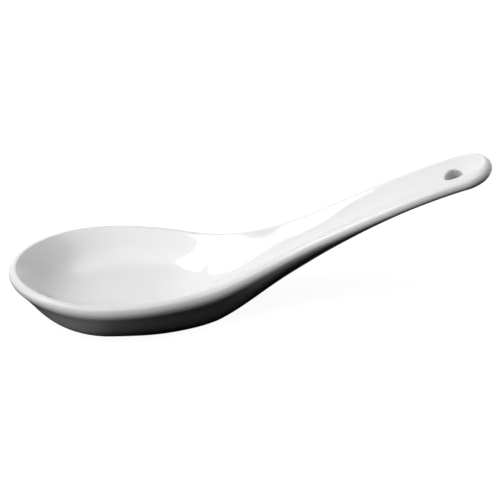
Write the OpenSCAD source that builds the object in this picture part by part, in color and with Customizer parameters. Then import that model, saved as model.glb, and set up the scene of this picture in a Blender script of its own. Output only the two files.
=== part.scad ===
// Chinese soup spoon: one fired porcelain body under a thin coat of glaze.
// +X runs from the bowl to the handle, +Z is up, and the origin is the middle of the flat foot.

/* [Whole spoon] */
// Length over all, seen from above
spoon_l = 135; // [130:1:140]
// Distance from the front of the bowl to the middle of the foot
foot_from_front = 35.6; // [34:0.1:37]

/* [Bowl] */
// Width of the bowl over its rim
bowl_w = 45; // [42:0.5:48]
// Distance from the front to the widest place
widest_from_front = 28.2; // [25:0.1:30]
// Height of the bowl's rim above the table
rim_h = 12.5; // [12:0.1:13.5]
// How much higher the rim stands at the very front
nose_lift = 0.5; // [0:0.1:1]
// Height of the bowl's floor above the table
floor_h = 3.3; // [2.9:0.1:3.7]
// Thickness of the rounded rim, which runs round the whole spoon
lip_t = 2.6; // [2.2:0.1:3]
// Height of the rim's outer face, from its crest to where it stands upright, at the front
face_front = 1.45; // [1.3:0.05:1.8]
// The same at the sides
face_side = 2.45; // [2:0.05:2.8]
// Lean of the outer wall from upright at the front
lean_front = 40.1; // [38:0.1:44]
// The same at the sides
lean_side = 17.2; // [15:0.1:20]
// Lean of the inner wall from upright at the front
inner_lean_front = 55; // [50:1:60]
// The same at the sides
inner_lean_side = 59; // [56:0.5:62]
// How much further the round of the rim turns in under itself on the bowl
bead_turn = 9; // [0:1:20]

/* [Handle] */
// Width of the handle where it is narrowest, after the throat
waist_w = 16.5; // [15:0.1:18]
// Distance from the front to that place
waist_from_front = 90.3; // [86:0.1:94]
// Width of the handle where its rounded end starts
tip_w = 15.6; // [14.6:0.1:16.4]
// Length of the rounded end
tip_round_l = 8.3; // [8.2:0.1:10]
// Distance from the front to where the rim starts to climb
bend_from_front = 52.2; // [50:0.1:55]
// Distance from the front to the middle of the climb
climb_from_front = 88; // [84:1:92]
// Height of the rim there
climb_h = 24.2; // [22:0.1:26]
// Slope of the rim there
climb_slope = 25.4; // [20:0.1:30]
// Height of the rim at the very end
tip_h = 43; // [40:0.1:46]
// Slope of the rim at the very end
tip_slope = 13.4; // [10:0.1:18]
// Thickness of the handle from the crest of its rim to the underside
handle_t = 5.2; // [4.9:0.1:5.8]
// Height of the rim's outer face on the handle, from its crest to where it stands upright
face_handle = 2.2; // [2:0.05:2.5]
// Depth of the channel along the handle
channel_d = 2; // [1.8:0.05:2.3]
// Lean of the channel's edges from upright
channel_lean = 55; // [50:1:60]
// Distance from the front to where the inner wall of the bowl starts to turn into the channel
channel_from_front = 41.9; // [39:0.1:45]
// Length of that turn
channel_turn_l = 18; // [17:0.1:24]
// Distance from the front to where the outer wall of the bowl starts to turn into the handle
throat_from_front = 51.9; // [48:0.1:54]
// Length of that turn
throat_l = 26.8; // [25:0.1:30]
// Distance from the front to where the handle gets its even thickness
neck_from_front = 113.9; // [110:0.1:116]

/* [Hanging hole] */
// Width of the hole
hole_d = 4.8; // [3:0.1:5.4]
// Distance from the end of the handle to the middle of the hole
hole_from_tip = 10.6; // [9:0.1:14]

/* [Foot] */
// How far the round underside would pass the table at the front of the foot, if it weren't ground flat
toe_dip = 1.2; // [1:0.1:1.5]
// Distance from the front to where it starts to dip further
toe_from_front = 26; // [25:0.1:27]
// How far it would pass the table at its deepest
keel_dip = 3; // [2.6:0.1:3.2]
// Distance from the front to its deepest place
keel_from_front = 47.5; // [44:0.1:50]
// Distance from the front to where the floor starts to climb
floor_end_from_front = 37.8; // [36:0.1:42]

/* [Glaze] */
// Thickness of the coat of glaze
glaze_t = 0.2; // [0.15:0.01:0.25]
// Height above the table up to which the foot is wiped bare
bare_h = 0.5; // [0.3:0.1:0.8]

/* [Hidden] */

// How far the curves of the outline follow their end tangents
nose_share = 0.55;
brow_share = 0.5;
shoulder_share = 0.4;
nape_share = 0.42;
third_share = 1 / 3;
// How far a wall keeps its lean on the way down, and then its level run to the middle: [front, side, handle]
outer_fall_shares = [0.95, 0.76, 0.47];
outer_run_shares = [0.85, 0.92, 0.44];
inner_fall_shares = [0.6, 0.43, 0.15];
inner_run_shares = [0.7, 0.59, 0.2];

// Steps along the outline and across half a section
nose_steps = 12;
side_steps = 16;
handle_steps = 9;
end_steps = 8;
inner_steps = 8;
lip_steps = 7;
outer_steps = 10;

lip_r = lip_t / 2;
front_x = -foot_from_front;
tip_x = front_x + spoon_l;
widest_x = front_x + widest_from_front;
waist_x = front_x + waist_from_front;
end_x = tip_x - tip_round_l;
bend_x = front_x + bend_from_front;
climb_x = front_x + climb_from_front;
throat_x = front_x + throat_from_front;
channel_x = front_x + channel_from_front;
neck_x = front_x + neck_from_front;
toe_x = front_x + toe_from_front;
keel_x = front_x + keel_from_front;
floor_end_x = front_x + floor_end_from_front;
hole_x = tip_x - hole_from_tip;

// A line in the middle plane runs through knots [x, height, slope]
function knot_z(a, b, x) = let(l = b[0] - a[0], t = (x - a[0]) / l)
    (2 * t ^ 3 - 3 * t ^ 2 + 1) * a[1] + (t ^ 3 - 2 * t ^ 2 + t) * l * a[2]
    + (3 * t ^ 2 - 2 * t ^ 3) * b[1] + (t ^ 3 - t ^ 2) * l * b[2];
function knot_slope(a, b, x) = let(l = b[0] - a[0], t = (x - a[0]) / l)
    (6 * t ^ 2 - 6 * t) * (a[1] - b[1]) / l + (3 * t ^ 2 - 4 * t + 1) * a[2] + (3 * t ^ 2 - 2 * t) * b[2];

// The crest of the rim: down a little from the front of the bowl, then up the handle
rim_front = [front_x, rim_h + nose_lift, -2 * nose_lift / bend_from_front];
rim_bend = [bend_x, rim_h, 0];
rim_climb = [climb_x, climb_h, tan(climb_slope)];
rim_tip = [tip_x, tip_h, tan(tip_slope)];
function rim_z(x) = x < bend_x ? knot_z(rim_front, rim_bend, x)
    : x < climb_x ? knot_z(rim_bend, rim_climb, x)
    : knot_z(rim_climb, rim_tip, x);
function rim_slope(x) = knot_slope(rim_climb, rim_tip, x);
function neck(depth) = [neck_x, rim_z(neck_x) - depth, rim_slope(neck_x)];

// The underside in the middle, before the foot is ground flat
keel_toe = [toe_x, -toe_dip, 0];
keel_deep = [keel_x, -keel_dip, 0];
function keel_z(x) = x < toe_x ? -toe_dip
    : x < keel_x ? knot_z(keel_toe, keel_deep, x)
    : x < neck_x ? knot_z(keel_deep, neck(handle_t), x)
    : rim_z(x) - handle_t;
function keel_slope(x) = x < toe_x ? 0
    : x < keel_x ? knot_slope(keel_toe, keel_deep, x)
    : x < neck_x ? knot_slope(keel_deep, neck(handle_t), x)
    : rim_slope(x);

// The bowl's floor in the middle, which runs on as the channel of the handle
floor_end = [floor_end_x, floor_h, 0];
function floor_z(x) = x < floor_end_x ? floor_h
    : x < neck_x ? knot_z(floor_end, neck(channel_d), x)
    : rim_z(x) - channel_d;
function floor_slope(x) = x < floor_end_x ? 0
    : x < neck_x ? knot_slope(floor_end, neck(channel_d), x)
    : rim_slope(x);

// A curve from p[0] to p[3] that leaves towards p[1] and arrives from p[2], and its heading
function curve(p, t) = let(u = 1 - t)
    u ^ 3 * p[0] + 3 * u ^ 2 * t * p[1] + 3 * u * t ^ 2 * p[2] + t ^ 3 * p[3];
function heading(p, t) = let(u = 1 - t)
    u ^ 2 * (p[1] - p[0]) + 2 * u * t * (p[2] - p[1]) + t ^ 2 * (p[3] - p[2]);

// The outline seen from above, on one side of the spoon
nose = [front_x, 0];
widest = [widest_x, bowl_w / 2];
waist = [waist_x, waist_w / 2];
end = [end_x, tip_w / 2];
nose_curve = [
    nose,
    nose + [0, nose_share * widest[1]],
    widest - [brow_share * (widest_x - front_x), 0],
    widest
];
side_curve = [
    widest,
    widest + [shoulder_share * (waist_x - widest_x), 0],
    waist - [nape_share * (waist_x - widest_x), 0],
    waist
];
handle_curve = [
    waist,
    waist + [third_share * (end_x - waist_x), 0],
    end - [third_share * (end_x - waist_x), 0],
    end
];

// A station is [x, y, spine]: a place on the outline, and the x on the middle line that its section
// runs to. Sections stand square to the outline, so the rim keeps its thickness.
function square_station(p, t) = let(o = curve(p, t), h = heading(p, t))
    [o[0], o[1], o[0] + o[1] * h[1] / h[0]];
end_lead = (tip_round_l ^ 2 - end[1] ^ 2) / tip_round_l;
stations = [
    for (i = [0 : nose_steps - 1]) let(t = i / nose_steps, o = curve(nose_curve, t))
        [o[0], o[1], toe_x + (widest_x - toe_x) * t ^ 2],
    for (i = [0 : side_steps - 1]) square_station(side_curve, i / side_steps),
    for (i = [0 : handle_steps - 1]) square_station(handle_curve, i / handle_steps),
    for (i = [0 : end_steps]) let(a = 90 * i / end_steps)
        [end_x + tip_round_l * sin(a), end[1] * cos(a), end_x + end_lead * sin(a)]
];
last = len(stations) - 1;

// A soft step from 0 at a to 1 at b
function soft(x, a, b) = let(t = min(max((x - a) / (b - a), 0), 1)) t ^ 2 * (3 - 2 * t);
function outer_turn(s) = soft(s[2], throat_x, throat_x + throat_l);
function inner_turn(s) = soft(s[2], channel_x, channel_x + channel_turn_l);
// Goes from the front over the sides to the handle, where h tells how much is handle
function mix(v, s, h) = let(g = soft(s[0], front_x, widest_x))
    (v[0] * (1 - g) + v[1] * g) * (1 - h) + v[2] * h;

// A wall leaves the rim along its lean and comes in at the middle along the slope that it meets there
function wall(top, foot, slope, lean, fall, run) = [
    top,
    top + fall * (top[1] - foot[1]) * [tan(lean), -1],
    foot - run * (foot[0] - top[0]) * [1, slope],
    foot
];

// The rim's round: a quarter circle inside its crest, and a taller quarter ellipse outside that goes on
// until it leans in under itself
function lip_point(a, face, skin) = let(high = a < 90 ? lip_r : face)
    [lip_r + (lip_r - skin) * cos(a), (high - skin) * sin(a) - high];

// Half a section, as [distance in from the outline, height] from the floor over the rim to the keel.
// Every face stands back by skin.
function section(s, skin) = let(
    reach = norm([s[0] - s[2], s[1]]),
    aim = (s[2] - s[0]) / reach,
    in = inner_turn(s),
    out = outer_turn(s),
    in_lean = mix([inner_lean_front, inner_lean_side, channel_lean], s, in),
    out_lean = mix([lean_front, lean_side, 0], s, out),
    face = mix([face_front, face_side, face_handle], s, out),
    under = atan(tan(out_lean + bead_turn * (1 - out)) * (face - skin) / (lip_r - skin)),
    lip = [
        for (i = [0 : lip_steps]) let(a = in_lean + (180 + under - in_lean) * i / lip_steps)
            [0, rim_z(s[0])] + lip_point(a, face, skin)
    ],
    floor_p = [reach, floor_z(s[2]) - skin],
    keel_p = [reach, keel_z(s[2]) + skin],
    in_fall = mix(inner_fall_shares, s, in),
    in_run = mix(inner_run_shares, s, in),
    out_fall = mix(outer_fall_shares, s, out),
    out_run = mix(outer_run_shares, s, out),
    inner = wall(lip[0], floor_p, aim * floor_slope(s[2]), in_lean, in_fall, in_run),
    outer = wall(lip[lip_steps], keel_p, aim * keel_slope(s[2]), out_lean, out_fall, out_run)
) concat(
    [for (i = [inner_steps : -1 : 1]) curve(inner, i / inner_steps)],
    lip,
    [for (i = [1 : outer_steps]) curve(outer, i / outer_steps)]
);

// The closed surface: the sections up one side of the outline and back down the other.
// The first and the last point of a section lie in the middle plane, and both sides share them.
rows = inner_steps + lip_steps + outer_steps + 1;
loop = 2 * last;
function along(k) = k <= last ? k : loop - k;
function point_at(s, q) = let(d = [s[2] - s[0], -s[1]], p = [s[0], s[1]] + q[0] / norm(d) * d)
    [p[0], p[1], q[1]];
function mirrored(p, k) = k <= last ? p : [p[0], -p[1], p[2]];
function place(j, k) = let(m = k % loop)
    j == 0 ? along(m)
    : j == rows - 1 ? last + 1 + along(m)
    : 2 * (last + 1) + (j - 1) * loop + m;

module spoon_solid(skin) {
    half = [for (s = stations) [for (q = section(s, skin)) point_at(s, q)]];
    middle = [for (j = [0, rows - 1]) for (h = half) h[j]];
    rings = [for (j = [1 : rows - 2]) for (k = [0 : loop - 1]) mirrored(half[along(k)][j], k)];
    faces = [
        for (j = [0 : rows - 2]) for (k = [0 : loop - 1])
            let(a = place(j, k), b = place(j, k + 1), c = place(j + 1, k + 1), d = place(j + 1, k))
            each [[a, c, b], [a, d, c]]
    ];
    polyhedron(concat(middle, rings), faces, convexity = 6);
}

// Everything below a height, to cut the foot flat
module below(h) {
    translate([front_x - bowl_w, -bowl_w, h - bowl_w])
        cube([spoon_l + 2 * bowl_w, 2 * bowl_w, bowl_w]);
}

// The hole stands square to the handle
module hanging_hole() {
    translate([hole_x, 0, floor_z(hole_x)])
        rotate([0, -atan(rim_slope(hole_x)), 0])
            cylinder(h = 4 * handle_t, d = hole_d, center = true, $fn = 64);
}

module body() {
    color("gainsboro")
        difference() {
            spoon_solid(glaze_t);
            below(0);
            hanging_hole();
        }
}

module glaze() {
    color("white")
        difference() {
            spoon_solid(0);
            spoon_solid(glaze_t);
            below(bare_h);
            hanging_hole();
        }
}

body();
glaze();
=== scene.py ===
"""A glazed porcelain soup spoon on a white table, under a bright sheet and soft lights."""

from math import atan, cos, hypot, pi, radians, sin, tan

import bmesh
import bpy
from mathutils import Matrix, Vector


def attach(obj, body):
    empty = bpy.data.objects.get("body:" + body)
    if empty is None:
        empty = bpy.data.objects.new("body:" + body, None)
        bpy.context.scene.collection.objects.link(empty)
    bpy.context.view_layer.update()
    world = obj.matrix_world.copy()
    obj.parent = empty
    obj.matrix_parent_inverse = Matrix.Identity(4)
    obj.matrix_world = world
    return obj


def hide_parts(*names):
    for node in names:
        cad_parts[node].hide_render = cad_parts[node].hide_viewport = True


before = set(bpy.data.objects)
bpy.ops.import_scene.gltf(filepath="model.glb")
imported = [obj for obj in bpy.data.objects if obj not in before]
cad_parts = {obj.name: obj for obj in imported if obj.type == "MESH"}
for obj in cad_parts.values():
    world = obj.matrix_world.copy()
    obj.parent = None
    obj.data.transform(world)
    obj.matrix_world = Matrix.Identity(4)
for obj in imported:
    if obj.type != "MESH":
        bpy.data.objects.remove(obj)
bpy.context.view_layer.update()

MM = 0.001

# The spoon, with the sizes of the part's source
FRONT = -35.6 * MM
TIP = FRONT + 135 * MM
BOWL_WIDTH = 45 * MM
WIDEST = FRONT + 28.2 * MM
WAIST = FRONT + 90.3 * MM
WAIST_WIDTH = 16.5 * MM
TIP_WIDTH = 15.6 * MM
TIP_ROUND = 8.3 * MM
END = TIP - TIP_ROUND
THROAT = FRONT + 51.9 * MM
THROAT_LENGTH = 26.8 * MM
INNER_THROAT = FRONT + 43.63 * MM
INNER_THROAT_LENGTH = 16.47 * MM
TOE = FRONT + 26 * MM
NECK = FRONT + 113.9 * MM

# How far the outline's curves hold their direction, as a share of each curve's span
NOSE_HOLD = 0.55
BROW_HOLD = 0.5
SHOULDER_HOLD = 0.4
NAPE_HOLD = 0.42

# Heights along the middle line, as knots (place, height, slope)
RIM_HEIGHT = 12.5 * MM
NOSE_LIFT = 0.5 * MM
RIM_BEND = (FRONT + 52.2 * MM, RIM_HEIGHT, 0)
RIM_FRONT = (FRONT, RIM_HEIGHT + NOSE_LIFT, -2 * NOSE_LIFT / (RIM_BEND[0] - FRONT))
RIM_CLIMB = (FRONT + 88 * MM, 24.2 * MM, tan(radians(25.4)))
RIM_TIP = (TIP, 43 * MM, tan(radians(13.4)))
KEEL_TOE = (TOE, -1.2 * MM, 0)
KEEL_DEEP = (FRONT + 47.5 * MM, -3 * MM, 0)
FLOOR_END = (FRONT + 38.92 * MM, 3.23 * MM, 0)
HANDLE_THICKNESS = 5.2 * MM
CHANNEL_DEPTH = 1.77 * MM

# The rim's round and the walls, each as (front, side, handle)
CREST = (1.8 * MM, 2.15 * MM, 2.05 * MM)
RIM_FACE = (1.75 * MM, 2.55 * MM, 2.1 * MM)
RIM_INSIDE = (0.5 * MM, 0.35 * MM, 0.35 * MM)
RIM_LIFT = (0.3 * MM, 0.06 * MM, 0)
BEAD_TURN = 9
OUTER_LEAN = (40.1, 17.2, 0)
OUTER_FALL = (0.95, 0.76, 0.47)
OUTER_RUN = (0.85, 0.92, 0.44)
INNER_LEAN = (55, 58.72, 58.61)
INNER_FALL = (0.6, 0.283, 0.063)
INNER_RUN = (0.7, 0.525, 0.141)

GLAZE = 0.2 * MM
BARE = 0.5 * MM
HOLE_WIDTH = 4.8 * MM
HOLE = TIP - 10.6 * MM
HOLE_ROUND = 0.75 * MM

# Steps along the outline (nose, side, handle, end) and rows down a section (inside, rim, outside)
GLAZE_STEPS = (30, 56, 40, 18)
GLAZE_ROWS = (24, 9, 24)
BODY_STEPS = (20, 32, 22, 12)
BODY_ROWS = (14, 5, 16)
HOLE_SIDES = 96
HOLE_ROWS = 7

# Points closer than this are one; faces and edges closer than these to the drill are its own
SAME_PLACE = 0.0005 * MM
ON_THE_DRILL = 0.002 * MM
BY_THE_DRILL = 0.02 * MM
SMOOTH_BELOW = radians(35)


def height_between(a, b, x):
    """Height of the smooth line from one knot to the next."""
    reach = b[0] - a[0]
    t = (x - a[0]) / reach
    return (
        (2 * t**3 - 3 * t**2 + 1) * a[1]
        + (t**3 - 2 * t**2 + t) * reach * a[2]
        + (3 * t**2 - 2 * t**3) * b[1]
        + (t**3 - t**2) * reach * b[2]
    )


def slope_between(a, b, x):
    reach = b[0] - a[0]
    t = (x - a[0]) / reach
    return (
        (6 * t**2 - 6 * t) * (a[1] - b[1]) / reach
        + (3 * t**2 - 4 * t + 1) * a[2]
        + (3 * t**2 - 2 * t) * b[2]
    )


def along(knots, x, read):
    """Reads a line in the middle plane, level before its first knot."""
    if x < knots[0][0]:
        return knots[0][1] if read is height_between else 0
    for a, b in zip(knots, knots[1:]):
        if x < b[0] or b is knots[-1]:
            return read(a, b, x)


def rim(x, read=height_between):
    return along((RIM_FRONT, RIM_BEND, RIM_CLIMB, RIM_TIP), x, read)


def under_the_rim(knots, depth, x, read):
    """A line that joins the handle's neck and then follows the rim at an even depth."""
    if x > NECK:
        return rim(x) - depth if read is height_between else rim(x, read)
    neck = (NECK, rim(NECK) - depth, rim(NECK, slope_between))
    return along(knots + (neck,), x, read)


def keel(x, read=height_between):
    return under_the_rim((KEEL_TOE, KEEL_DEEP), HANDLE_THICKNESS, x, read)


def bowl_floor(x, read=height_between):
    return under_the_rim((FLOOR_END,), CHANNEL_DEPTH, x, read)


def curve(p, t):
    """A place on the curve that four points guide."""
    u = 1 - t
    return [
        u**3 * a + 3 * u**2 * t * b + 3 * u * t**2 * c + t**3 * d
        for a, b, c, d in zip(*p)
    ]


def heading(p, t):
    """The curve's direction at that place."""
    u = 1 - t
    return [
        u**2 * (b - a) + 2 * u * t * (c - b) + t**2 * (d - c)
        for a, b, c, d in zip(*p)
    ]


def outline(nose_steps, side_steps, handle_steps, end_steps):
    """Places round one side, each with the x on the middle line that its section runs to."""
    half = BOWL_WIDTH / 2
    waist = WAIST_WIDTH / 2
    tip = TIP_WIDTH / 2
    span = WAIST - WIDEST
    third = (END - WAIST) / 3
    nose = (
        (FRONT, 0),
        (FRONT, NOSE_HOLD * half),
        (WIDEST - BROW_HOLD * (WIDEST - FRONT), half),
        (WIDEST, half),
    )
    side = (
        (WIDEST, half),
        (WIDEST + SHOULDER_HOLD * span, half),
        (WAIST - NAPE_HOLD * span, waist),
        (WAIST, waist),
    )
    grip = ((WAIST, waist), (WAIST + third, waist), (END - third, tip), (END, tip))
    places = []
    for i in range(nose_steps):
        t = i / nose_steps
        x, y = curve(nose, t)
        places.append((x, y, TOE + (WIDEST - TOE) * t**2))
    for line, steps in ((side, side_steps), (grip, handle_steps)):
        for i in range(steps):
            x, y = curve(line, i / steps)
            dx, dy = heading(line, i / steps)
            places.append((x, y, x + y * dy / dx))
    lead = (TIP_ROUND**2 - tip**2) / TIP_ROUND
    for i in range(end_steps + 1):
        a = pi / 2 * i / end_steps
        places.append((END + TIP_ROUND * sin(a), tip * cos(a), END + lead * sin(a)))
    return places


def soft(x, a, b):
    """0 up to a, 1 from b on, and a smooth rise between them."""
    t = min(max((x - a) / (b - a), 0), 1)
    return t * t * (3 - 2 * t)


def mix(values, place, handle):
    """A measure given for the front, the side and the handle, mixed for one place."""
    side = soft(place[0], FRONT, WIDEST)
    front_and_side = values[0] * (1 - side) + values[1] * side
    return front_and_side * (1 - handle) + values[2] * handle


def wall(top, foot, slope, lean, fall, run, steps):
    """Points down a wall that leaves the rim along its lean and comes in at the middle."""
    drop = fall * (top[1] - foot[1])
    back = run * (foot[0] - top[0])
    p = (
        top,
        (top[0] + drop * tan(lean), top[1] - drop),
        (foot[0] - back, foot[1] - back * slope),
        foot,
    )
    return [curve(p, i / steps) for i in range(1, steps + 1)]


def section(place, set_back, inner_rows, rim_rows, outer_rows):
    """Half a section from the rim's crest: its points down the inside and down the outside."""
    x, y, spine = place
    reach = hypot(spine - x, y)
    aim = (spine - x) / reach
    handle = soft(spine, THROAT, THROAT + THROAT_LENGTH)
    channel = soft(spine, INNER_THROAT, INNER_THROAT + INNER_THROAT_LENGTH)
    inner_lean = radians(mix(INNER_LEAN, place, channel))
    outer_lean = radians(mix(OUTER_LEAN, place, handle))
    crest = mix(CREST, place, handle)
    top = rim(x) + mix(RIM_LIFT, place, handle) - set_back

    def rounded(across, down, end):
        """A quarter and more of an oval, from the crest to an angle."""
        angles = [pi / 2 + (end - pi / 2) * i / rim_rows for i in range(rim_rows + 1)]
        return [(crest + across * cos(a), top - down + down * sin(a)) for a in angles]

    r = mix(RIM_INSIDE, place, handle) - set_back
    inside = rounded(r, r, inner_lean)
    fall, run = mix(INNER_FALL, place, channel), mix(INNER_RUN, place, channel)
    foot = (reach, bowl_floor(spine) - set_back)
    slope = aim * bowl_floor(spine, slope_between)
    inside += wall(inside[-1], foot, slope, inner_lean, fall, run, inner_rows)

    width = crest - set_back
    face = mix(RIM_FACE, place, handle) - set_back
    bead = tan(outer_lean + radians(BEAD_TURN) * (1 - handle))
    outside = rounded(width, face, pi + atan(bead * face / width))
    fall, run = mix(OUTER_FALL, place, handle), mix(OUTER_RUN, place, handle)
    foot = (reach, keel(spine) + set_back)
    slope = aim * keel(spine, slope_between)
    outside += wall(outside[-1], foot, slope, outer_lean, fall, run, outer_rows)

    dx, dy = (spine - x) / reach, -y / reach
    return [[(x + q * dx, y + q * dy, z) for q, z in points] for points in (inside, outside)]


# Modelling


def work_on(piece):
    bpy.ops.object.select_all(action="DESELECT")
    piece.select_set(True)
    bpy.context.view_layer.objects.active = piece


def select_crest(piece):
    bpy.ops.mesh.select_all(action="DESELECT")
    mesh = bmesh.from_edit_mesh(piece.data)
    crest = mesh.verts.layers.int["crest"]
    for v in mesh.verts:
        v.select = v[crest] == 1
    mesh.select_flush(True)
    for f in mesh.faces:
        f.select = False
    for e in mesh.edges:
        e.select = all(v[crest] == 1 for v in e.verts)
    bmesh.update_edit_mesh(piece.data)


def skin(name, set_back, steps, rows):
    """The whole surface: a ring on the rim's crest, extruded to the middle line both ways."""
    places = outline(*steps)
    last = len(places) - 1
    inside, outside = zip(*(section(p, set_back, *rows) for p in places))

    def spot(side, row, station):
        x, y, z = side[station if station <= last else 2 * last - station][row]
        return Vector((x, y if station <= last else -y, z))

    bpy.ops.object.select_all(action="DESELECT")
    bpy.ops.mesh.primitive_circle_add(vertices=2 * last, radius=BOWL_WIDTH)
    piece = bpy.context.object
    piece.name = piece.data.name = name
    bpy.ops.object.mode_set(mode="EDIT")
    bpy.ops.mesh.select_mode(type="VERT")
    mesh = bmesh.from_edit_mesh(piece.data)
    station = mesh.verts.layers.int.new("station")
    crest = mesh.verts.layers.int.new("crest")
    mesh.verts.ensure_lookup_table()
    for i, v in enumerate(mesh.verts):
        v[station] = i
        v[crest] = 1
        v.co = spot(inside, 0, i)
    bmesh.update_edit_mesh(piece.data)
    for side in (inside, outside):
        select_crest(piece)
        for row in range(1, len(side[0])):
            bpy.ops.mesh.extrude_edges_move()
            mesh = bmesh.from_edit_mesh(piece.data)
            station = mesh.verts.layers.int["station"]
            crest = mesh.verts.layers.int["crest"]
            for v in mesh.verts:
                if v.select:
                    v.co = spot(side, row, v[station])
                    v[crest] = 0
            bmesh.update_edit_mesh(piece.data)
    bpy.ops.mesh.select_all(action="SELECT")
    bpy.ops.mesh.remove_doubles(threshold=SAME_PLACE)
    bpy.ops.mesh.normals_make_consistent(inside=False)
    bpy.ops.object.mode_set(mode="OBJECT")
    return piece


def drill_out(piece, centre, axis, radius):
    """Cuts a straight hole right through a piece."""
    turn = axis.to_track_quat("Z", "X").to_euler()
    bpy.ops.object.select_all(action="DESELECT")
    bpy.ops.mesh.primitive_cylinder_add(
        vertices=HOLE_SIDES,
        radius=radius,
        depth=6 * HANDLE_THICKNESS,
        location=centre,
        rotation=turn,
    )
    drill = bpy.context.object
    work_on(piece)
    cut = piece.modifiers.new("hanging_hole", "BOOLEAN")
    cut.operation = "DIFFERENCE"
    cut.solver = "EXACT"
    cut.object = drill
    bpy.ops.object.modifier_apply(modifier=cut.name)
    bpy.data.objects.remove(drill)


def pierce(piece, width, round_over):
    """Drills the hanging hole and rolls both of its edges over."""
    centre = Vector((HOLE, 0, bowl_floor(HOLE)))
    axis = Vector((-rim(HOLE, slope_between), 0, 1)).normalized()
    wide = width / 2 + round_over
    drill_out(piece, centre, axis, wide)

    def from_axis(p):
        out = p - centre
        return out - axis * out.dot(axis)

    def off_the_drill(p):
        return abs(from_axis(p).length - wide)

    # The drilled wall goes, and the rounds are drawn in from the two edges that it leaves
    bpy.ops.object.mode_set(mode="EDIT")
    bpy.ops.mesh.select_mode(type="FACE")
    bpy.ops.mesh.select_all(action="DESELECT")
    mesh = bmesh.from_edit_mesh(piece.data)
    for f in mesh.faces:
        upright = abs(f.normal.dot(axis)) < 0.3
        f.select = upright and all(off_the_drill(v.co) < ON_THE_DRILL for v in f.verts)
    bmesh.update_edit_mesh(piece.data)
    bpy.ops.mesh.delete(type="ONLY_FACE")
    bpy.ops.mesh.select_mode(type="EDGE")
    mesh = bmesh.from_edit_mesh(piece.data)
    mesh.verts.layers.int.new("start")
    middle = (CHANNEL_DEPTH - HANDLE_THICKNESS) / 2
    for side in (1, -1):
        bpy.ops.mesh.select_all(action="DESELECT")
        mesh = bmesh.from_edit_mesh(piece.data)
        start = mesh.verts.layers.int["start"]
        for e in mesh.edges:
            half = (e.verts[0].co + e.verts[1].co) / 2
            on_this_side = side * ((half - centre).dot(axis) - middle) > 0
            e.select = e.is_boundary and off_the_drill(half) < BY_THE_DRILL and on_this_side
        starts = [v.co.copy() for v in mesh.verts if v.select]
        for i, v in enumerate(v for v in mesh.verts if v.select):
            v[start] = i
        bmesh.update_edit_mesh(piece.data)
        for row in range(1, HOLE_ROWS + 1):
            bpy.ops.mesh.extrude_edges_move()
            mesh = bmesh.from_edit_mesh(piece.data)
            start = mesh.verts.layers.int["start"]
            a = pi / 2 * row / HOLE_ROWS
            for v in mesh.verts:
                if v.select:
                    edge = starts[v[start]]
                    inward = -from_axis(edge).normalized() * round_over * sin(a)
                    deeper = side * axis * round_over * (1 - cos(a))
                    v.co = edge + inward - deeper
            bmesh.update_edit_mesh(piece.data)
    mesh = bmesh.from_edit_mesh(piece.data)
    for e in mesh.edges:
        e.select = e.is_boundary and from_axis(e.verts[0].co).length < wide
    bmesh.update_edit_mesh(piece.data)
    bpy.ops.mesh.bridge_edge_loops()
    bpy.ops.object.mode_set(mode="OBJECT")


def cut_level(piece, height, closed):
    """Takes off what lies below a height, and closes the cut or leaves it open."""
    work_on(piece)
    bpy.ops.object.mode_set(mode="EDIT")
    bpy.ops.mesh.select_all(action="SELECT")
    bpy.ops.mesh.bisect(
        plane_co=(0, 0, height),
        plane_no=(0, 0, 1),
        use_fill=closed,
        clear_inner=True,
        threshold=SAME_PLACE,
    )
    bpy.ops.object.mode_set(mode="OBJECT")


def finish(piece, material, node):
    piece.data.materials.clear()
    piece.data.materials.append(material)
    for layer in ("station", "crest", "start"):
        if layer in piece.data.attributes:
            piece.data.attributes.remove(piece.data.attributes[layer])
    work_on(piece)
    bpy.ops.object.shade_smooth_by_angle(angle=SMOOTH_BELOW)
    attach(piece, "root")
    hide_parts(node)


# Materials


def add_node(tree, kind, inputs=None, **settings):
    """A node with its settings, each input given as a value or as the output that feeds it."""
    node = tree.nodes.new(kind)
    for label, value in settings.items():
        setattr(node, label, value)
    for label, value in (inputs or {}).items():
        if isinstance(value, bpy.types.NodeSocket):
            tree.links.new(value, node.inputs[label])
        else:
            node.inputs[label].default_value = value
    return node


def combine(tree, operation, a, b):
    return add_node(tree, "ShaderNodeMath", {0: a, 1: b}, operation=operation).outputs["Value"]


def grey(level):
    return (level, level, level, 1)


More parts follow.
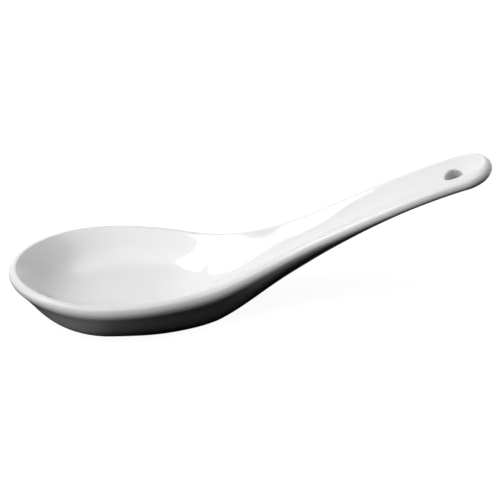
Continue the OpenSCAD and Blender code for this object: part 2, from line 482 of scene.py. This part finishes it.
def fired_surface():
    """Slow waves, fine grain and a few specks, as a kiln leaves them."""
    group = bpy.data.node_groups.new("fired_surface", "ShaderNodeTree")
    for label, value in (("Wave size", 90), ("Grain size", 1500), ("Grain", 0.3), ("Specks", 0.5)):
        socket = group.interface.new_socket(label, in_out="INPUT", socket_type="NodeSocketFloat")
        socket.default_value = value
    for label in ("Height", "Tone", "Speck"):
        group.interface.new_socket(label, in_out="OUTPUT", socket_type="NodeSocketFloat")
    given = add_node(group, "NodeGroupInput").outputs
    place = add_node(group, "ShaderNodeTexCoord").outputs["Object"]

    def noise(size, detail):
        texture = {"Vector": place, "Scale": size, "Detail": detail}
        return add_node(group, "ShaderNodeTexNoise", texture).outputs["Fac"]

    waves = noise(given["Wave size"], 2)
    blend = {"Factor": given["Grain"], "A": waves, "B": noise(given["Grain size"], 4)}
    height = add_node(group, "ShaderNodeMix", blend).outputs["Result"]
    # A speck lies at the very middle of a spot, and few of the spots have one
    spots = add_node(group, "ShaderNodeTexVoronoi", {"Vector": place, "Scale": 170}).outputs
    near = {"Value": spots["Distance"], "From Min": 0.05, "From Max": 0.02}
    near = add_node(group, "ShaderNodeMapRange", near).outputs["Result"]
    rare = combine(group, "GREATER_THAN", spots["Color"], 0.93)
    speck = combine(group, "MULTIPLY", combine(group, "MULTIPLY", near, rare), given["Specks"])
    add_node(group, "NodeGroupOutput", {"Height": height, "Tone": waves, "Speck": speck})
    return group


def fired_material(name, group, settings, colours, roughness, bump, distance):
    """A fired surface: its colour and gloss follow the slow waves, and its specks lie on top."""
    material = bpy.data.materials.new(name)
    material.use_nodes = True
    tree = material.node_tree
    light, dark, speck = ((*colour, 1) for colour in colours)
    surface = tree.nodes.new("ShaderNodeGroup")
    surface.node_tree = group
    for label, value in settings.items():
        surface.inputs[label].default_value = value
    made = surface.outputs
    tone = {"Factor": made["Tone"], "A": dark, "B": light}
    tone = add_node(tree, "ShaderNodeMix", tone, data_type="RGBA").outputs["Result"]
    spotted = {"Factor": made["Speck"], "A": tone, "B": speck}
    spotted = add_node(tree, "ShaderNodeMix", spotted, data_type="RGBA").outputs["Result"]
    gloss = {"Value": made["Tone"], "To Min": roughness[0], "To Max": roughness[1]}
    gloss = add_node(tree, "ShaderNodeMapRange", gloss).outputs["Result"]
    relief = {"Height": made["Height"], "Strength": bump, "Distance": distance}
    relief = add_node(tree, "ShaderNodeBump", relief).outputs["Normal"]
    shader = tree.nodes["Principled BSDF"]
    for label, output in (("Base Color", spotted), ("Roughness", gloss), ("Normal", relief)):
        tree.links.new(output, shader.inputs[label])
    shader.inputs["IOR"].default_value = 1.5
    return material


fired = fired_surface()
glaze_material = fired_material(
    "white_glaze",
    fired,
    {"Wave size": 70, "Grain size": 900, "Grain": 0.04, "Specks": 0.15},
    colours=((0.9, 0.9, 0.9), (0.87, 0.87, 0.87), (0.55, 0.52, 0.48)),
    roughness=(0.03, 0.06),
    bump=0.06,
    distance=0.05 * MM,
)
bare_material = fired_material(
    "bare_porcelain",
    fired,
    {"Wave size": 120, "Grain size": 2600, "Grain": 0.7, "Specks": 0.8},
    colours=((0.8, 0.79, 0.76), (0.72, 0.71, 0.68), (0.4, 0.36, 0.3)),
    roughness=(0.55, 0.75),
    bump=0.5,
    distance=0.06 * MM,
)

# Pieces

glaze = skin("glaze_coat", 0, GLAZE_STEPS, GLAZE_ROWS)
pierce(glaze, HOLE_WIDTH, HOLE_ROUND)
cut_level(glaze, BARE, closed=False)
coat = glaze.modifiers.new("coat", "SOLIDIFY")
coat.thickness = GLAZE
coat.offset = -1
bpy.ops.object.modifier_apply(modifier=coat.name)
finish(glaze, glaze_material, "glaze")

body = skin("porcelain_body", GLAZE, BODY_STEPS, BODY_ROWS)
pierce(body, HOLE_WIDTH + 2 * GLAZE, HOLE_ROUND)
cut_level(body, 0, closed=True)
finish(body, bare_material, "body")

# Table

TABLE_SIZE = 4
TABLE_GLOW = 0.945
TABLE_SHADE = 0.16
# The glaze mirrors the table this dark, and white only from this far behind the spoon, in metres
TABLE_DARK = 0.004
BEHIND = 0.03


def seen_or_mirrored(tree, where):
    """1 for what the camera sees itself, and a given factor for what is mirrored."""
    ray = add_node(tree, "ShaderNodeLightPath").outputs
    mirrored = combine(tree, "MULTIPLY", ray["Is Glossy Ray"], where)
    return combine(tree, "MAXIMUM", ray["Is Camera Ray"], mirrored)


def empty_material(name):
    material = bpy.data.materials.new(name)
    material.use_nodes = True
    material.node_tree.nodes.clear()
    return material, material.node_tree


def white_table():
    material, tree = empty_material("table_white")
    place = add_node(tree, "ShaderNodeTexCoord").outputs["Object"]
    split = add_node(tree, "ShaderNodeSeparateXYZ", {0: place}).outputs
    behind = {"Value": split["Y"], "From Min": 0, "From Max": BEHIND}
    behind = add_node(tree, "ShaderNodeMapRange", behind).outputs["Result"]
    white = add_node(tree, "ShaderNodeEmission", {"Strength": TABLE_GLOW}).outputs[0]
    shade = add_node(tree, "ShaderNodeBsdfDiffuse", {"Color": grey(TABLE_SHADE)}).outputs[0]
    bright = add_node(tree, "ShaderNodeAddShader", {0: white, 1: shade}).outputs[0]
    dark = add_node(tree, "ShaderNodeBsdfDiffuse", {"Color": grey(TABLE_DARK)}).outputs[0]
    pick = {0: seen_or_mirrored(tree, behind), 1: dark, 2: bright}
    pick = add_node(tree, "ShaderNodeMixShader", pick).outputs[0]
    add_node(tree, "ShaderNodeOutputMaterial", {"Surface": pick})
    return material


bpy.ops.object.select_all(action="DESELECT")
bpy.ops.mesh.primitive_plane_add(size=TABLE_SIZE, location=(0, 0, 0))
table = bpy.context.object
table.name = "table"
table.data.materials.append(white_table())

# Light

# Soft lights all round: azimuth, elevation and spread in degrees, and how bright each is
SOFT_LIGHTS = (
    ("left", 188, 24, 24, 3.8),
    ("left_above", 217, 63, 24, 2.6),
    ("overhead", 317, 76, 24, 2.5),
    ("back_above", 170, 82, 36, 0.4),
    ("back_left", 120, 30, 50, 0.7),
)
# The glaze mirrors the white backdrop less and less up to this height (1 is straight up)
BACKDROP_TOP = 0.5
# The bright sheet: the place on the spoon that its corners are seen from and its height above it,
# in metres, and its corners as tangents from straight up, left to right along each of two sides
SHEET_SEEN_FROM = (0.02, 0, 0.01)
SHEET_HEIGHT = 2.202
SHEET_CORNERS = ((-0.343, -0.136), (-0.977, -0.181), (-0.325, -0.108), (-0.605, 0.389))
SHEET_GLOW = 6


def studio():
    """A dark room with soft lights, and a white backdrop for the camera and for the glaze."""
    world = bpy.data.worlds.new("studio")
    world.use_nodes = True
    tree = world.node_tree
    towards = add_node(tree, "ShaderNodeTexCoord").outputs["Generated"]
    glow = 0
    for name, azimuth, elevation, spread, strength in SOFT_LIGHTS:
        turn, lift = radians(azimuth), radians(elevation)
        near = {0: towards, 1: (cos(turn) * cos(lift), sin(turn) * cos(lift), sin(lift))}
        near = add_node(
            tree, "ShaderNodeVectorMath", near, operation="DOT_PRODUCT", name=name, label=name
        )
        fade = {
            "Value": near.outputs["Value"],
            "From Min": cos(radians(spread)),
            "From Max": 1,
            "To Max": strength,
        }
        fade = add_node(tree, "ShaderNodeMapRange", fade, interpolation_type="SMOOTHSTEP")
        glow = combine(tree, "ADD", fade.outputs["Result"], glow)
    split = add_node(tree, "ShaderNodeSeparateXYZ", {0: towards}).outputs
    low = {"Value": split["Z"], "From Min": BACKDROP_TOP, "From Max": 0}
    low = add_node(tree, "ShaderNodeMapRange", low, interpolation_type="SMOOTHSTEP")
    white = seen_or_mirrored(tree, low.outputs["Result"])
    strength = {"Value": white, "To Min": glow, "To Max": 1}
    strength = add_node(tree, "ShaderNodeMapRange", strength).outputs["Result"]
    background = tree.nodes["Background"]
    background.inputs["Color"].default_value = grey(1)
    tree.links.new(strength, background.inputs["Strength"])
    return world


def bright_sheet(name):
    material, tree = empty_material(name + "_glow")
    glow = add_node(tree, "ShaderNodeEmission", {"Strength": SHEET_GLOW}).outputs[0]
    add_node(tree, "ShaderNodeOutputMaterial", {"Surface": glow})
    bpy.ops.object.select_all(action="DESELECT")
    bpy.ops.mesh.primitive_plane_add(size=1)
    sheet = bpy.context.object
    sheet.name = sheet.data.name = name
    for v, (x, y) in zip(sheet.data.vertices, SHEET_CORNERS):
        v.co = Vector(SHEET_SEEN_FROM) + Vector((x, y, 1)) * SHEET_HEIGHT
    sheet.data.materials.append(material)
    return sheet


bpy.context.scene.world = studio()
sheet = bright_sheet("key")

# Camera

AZIMUTH = radians(-4)
ELEVATION = radians(33.132)
DISTANCE = 0.6
TO_THE_RIGHT = 32.179 * MM
UPWARDS = 14.704 * MM

back = Vector((sin(AZIMUTH) * cos(ELEVATION), -cos(AZIMUTH) * cos(ELEVATION), sin(ELEVATION)))
right = Vector((cos(AZIMUTH), sin(AZIMUTH), 0))
up = back.cross(right)
camera_data = bpy.data.cameras.new("camera")
camera_data.sensor_width = 36
camera_data.lens = 151.71
camera_data.clip_start = 0.05
camera = bpy.data.objects.new("camera", camera_data)
bpy.context.scene.collection.objects.link(camera)
spot = back * DISTANCE + right * TO_THE_RIGHT + up * UPWARDS
camera.matrix_world = Matrix.Translation(spot) @ Matrix((right, up, back)).transposed().to_4x4()
bpy.context.scene.camera = camera
bpy.context.scene.view_settings.view_transform = "Standard"
